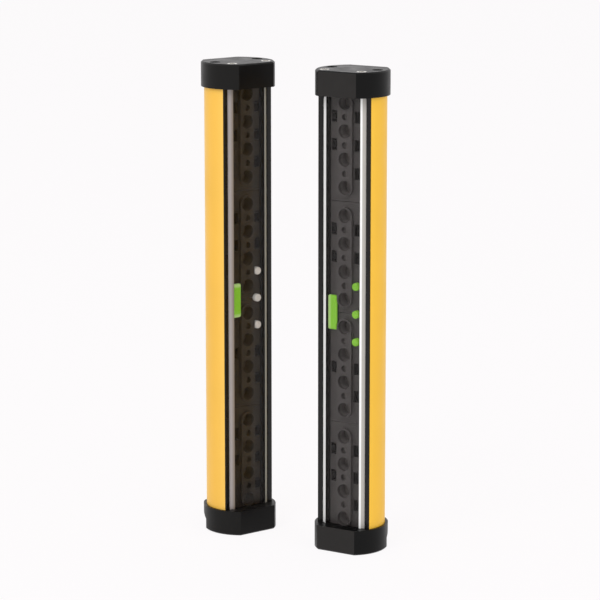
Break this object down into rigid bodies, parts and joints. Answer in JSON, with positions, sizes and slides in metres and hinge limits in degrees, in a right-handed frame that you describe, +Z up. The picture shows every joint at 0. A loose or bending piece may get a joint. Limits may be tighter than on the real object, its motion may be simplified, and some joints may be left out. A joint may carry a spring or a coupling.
{
  "type": "safety light curtain",
  "caption": "Upright emitter and receiver columns of a light curtain, with bulging yellow housings, black end caps, clear windows over rows of lenses, a green status bar and round indicators.",
  "frame": {"origin": "Centre of the pair's outline, on the floor plane under the end caps.", "axes": "+Z up along the columns; +X from the emitter column to the receiver column; -Y is the side that both windows are turned towards, each column being turned 35 degrees inward from it."},
  "size_m": [0.066, 0.055, 0.173],
  "materials": {
    "yellow_housing": "satin",
    "smoked_window": "gloss",
    "black_strip": "satin",
    "cap_plastic": "satin",
    "seal_rubber": "matte",
    "steel_screws": "satin",
    "bright_inserts": "gloss",
    "carrier_plastic": "matte",
    "lens_plastic": "gloss",
    "diode_black": "gloss",
    "circuit_board": "satin",
    "chip_black": "matte",
    "terminal_plastic": "satin",
    "green_light": "gloss",
    "clear_guide": "gloss",
    "lamp_white": "gloss"
  },
  "bodies": {
    "root": {"emitter_housing": "yellow_housing", "emitter_window": "smoked_window", "emitter_left_strip": "black_strip", "emitter_right_strip": "black_strip", "emitter_top_cap": "cap_plastic", "emitter_bottom_cap": "cap_plastic", "emitter_top_gasket": "seal_rubber", "emitter_bottom_gasket": "seal_rubber", "emitter_top_cap_screws": "steel_screws", "emitter_bottom_cap_screws": "steel_screws", "emitter_top_bracket_inserts": "bright_inserts", "emitter_bottom_bracket_inserts": "bright_inserts", "emitter_cable_grommet": "seal_rubber", "emitter_optic_carrier_1": "carrier_plastic", "emitter_optic_carrier_2": "carrier_plastic", "emitter_optic_carrier_3": "carrier_plastic", "emitter_optic_carrier_4": "carrier_plastic", "emitter_lenses": "lens_plastic", "emitter_infrared_diodes": "diode_black", "emitter_circuit_board": "circuit_board", "emitter_driver_chips": "chip_black", "emitter_processor": "chip_black", "emitter_cable_terminal": "terminal_plastic", "emitter_status_bar": "green_light", "emitter_round_indicators": "clear_guide", "emitter_status_lamps": "lamp_white", "receiver_housing": "yellow_housing", "receiver_window": "smoked_window", "receiver_left_strip": "black_strip", "receiver_right_strip": "black_strip", "receiver_top_cap": "cap_plastic", "receiver_bottom_cap": "cap_plastic", "receiver_top_gasket": "seal_rubber", "receiver_bottom_gasket": "seal_rubber", "receiver_top_cap_screws": "steel_screws", "receiver_bottom_cap_screws": "steel_screws", "receiver_top_bracket_inserts": "bright_inserts", "receiver_bottom_bracket_inserts": "bright_inserts", "receiver_cable_grommet": "seal_rubber", "receiver_optic_carrier_1": "carrier_plastic", "receiver_optic_carrier_2": "carrier_plastic", "receiver_optic_carrier_3": "carrier_plastic", "receiver_optic_carrier_4": "carrier_plastic", "receiver_lenses": "lens_plastic", "receiver_photodiodes": "diode_black", "receiver_circuit_board": "circuit_board", "receiver_amplifier_chips": "chip_black", "receiver_processor": "chip_black", "receiver_cable_terminal": "terminal_plastic", "receiver_status_bar": "green_light", "receiver_round_indicators": "green_light", "receiver_status_lamps": "lamp_white"}
  },
  "joints": []
}
